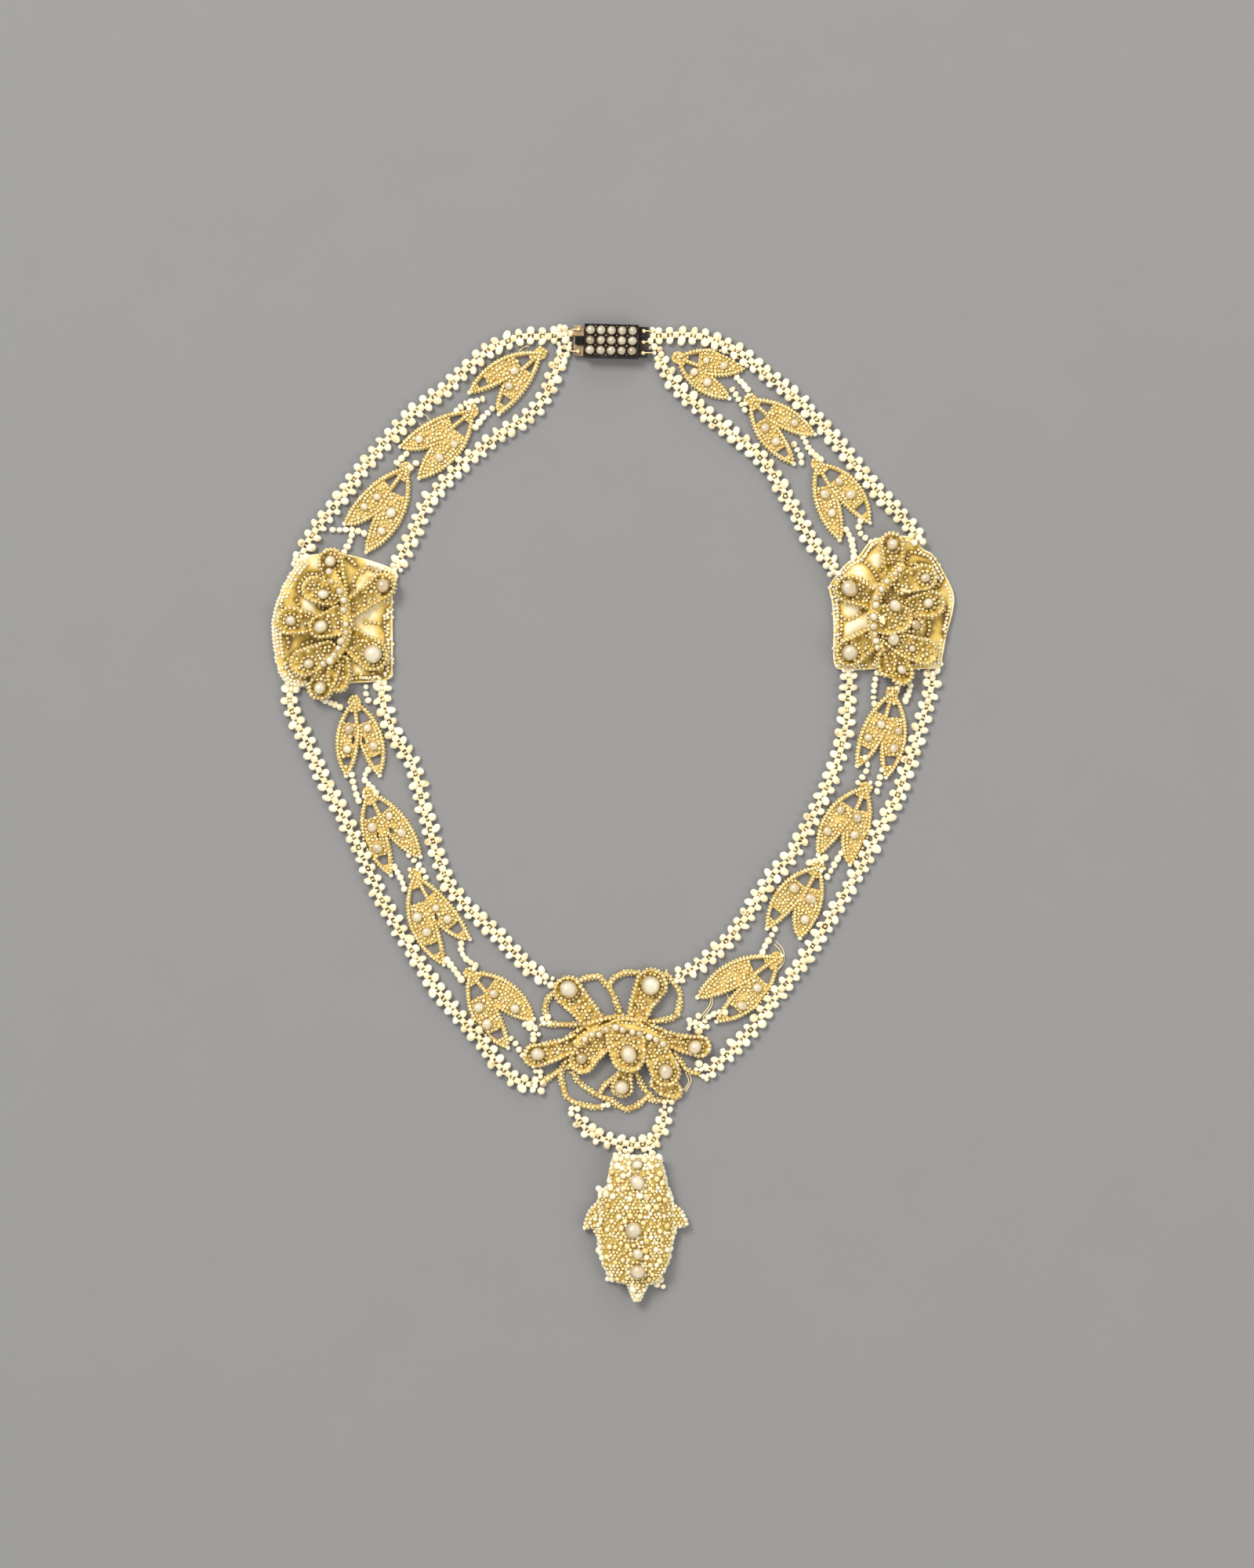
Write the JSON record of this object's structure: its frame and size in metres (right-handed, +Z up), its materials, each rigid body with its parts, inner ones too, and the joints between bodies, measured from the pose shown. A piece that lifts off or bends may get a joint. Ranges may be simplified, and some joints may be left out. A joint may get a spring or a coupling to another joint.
{
  "type": "pearl collar necklace",
  "caption": "Seed-pearl collar with woven bands, pierced leaf sprigs, silk-backed side plaques, a flower centre with a drop pendant, and a box clasp.",
  "frame": {"origin": "on the surface the collar lies on, under the middle of its outline", "axes": "+X to the right and +Y up towards the clasp, as the collar is seen from above; +Z up from the surface, towards the face of the pearls"},
  "size_m": [0.1434, 0.2054, 0.0084],
  "materials": {
    "pearl": "soft pearly lustre",
    "seed_pearl": "satin, ivory",
    "nacre": "golden mother-of-pearl, satin",
    "silk": "cream silk",
    "dark_metal": "black tarnish, worn",
    "worn_gilt": "dull brown gilt",
    "spring_metal": "dark, smooth"
  },
  "bodies": {
    "collar": {"clasp_box": "dark_metal", "clasp_tongue": "worn_gilt", "clasp_pearls": "pearl", "band_ul_outer": "seed_pearl", "band_ul_inner": "seed_pearl", "band_ur_outer": "seed_pearl", "band_ur_inner": "seed_pearl", "band_ll_outer": "seed_pearl", "band_ll_inner": "seed_pearl", "band_lr_outer": "seed_pearl", "band_lr_inner": "seed_pearl", "band_swag": "seed_pearl", "plaque_left": "silk", "plaque_right": "silk", "bloom_left": "nacre", "bloom_right": "nacre", "bloom_centre": "nacre", "bloom_left_pearls": "pearl", "bloom_right_pearls": "pearl", "bloom_centre_pearls": "pearl", "pendant_body": "nacre", "pendant_pearls": "pearl", "strings_ul": "seed_pearl", "strings_ur": "seed_pearl", "strings_ll": "seed_pearl", "strings_lr": "seed_pearl", "sprig_pearls_ul": "pearl", "sprig_pearls_ur": "pearl", "sprig_pearls_ll": "pearl", "sprig_pearls_lr": "pearl", "sprig_ul_1": "nacre", "sprig_ul_2": "nacre", "sprig_ul_3": "nacre", "sprig_ur_1": "nacre", "sprig_ur_2": "nacre", "sprig_ur_3": "nacre", "sprig_ll_1": "nacre", "sprig_ll_2": "nacre", "sprig_ll_3": "nacre", "sprig_ll_4": "nacre", "sprig_lr_1": "nacre", "sprig_lr_2": "nacre", "sprig_lr_3": "nacre", "sprig_lr_4": "nacre"},
    "lever": {"clasp_lever": "spring_metal"}
  },
  "joints": [
    {"name": "thumb_press", "type": "hinge", "parent": "collar", "child": "lever", "pos_m": [0.0038, 0.09889, 0.0014], "axis": [0.0262, 0.9997, 0], "range_deg": [-3, 0], "stiffness_Nm_per_rad": 0.1}
  ]
}
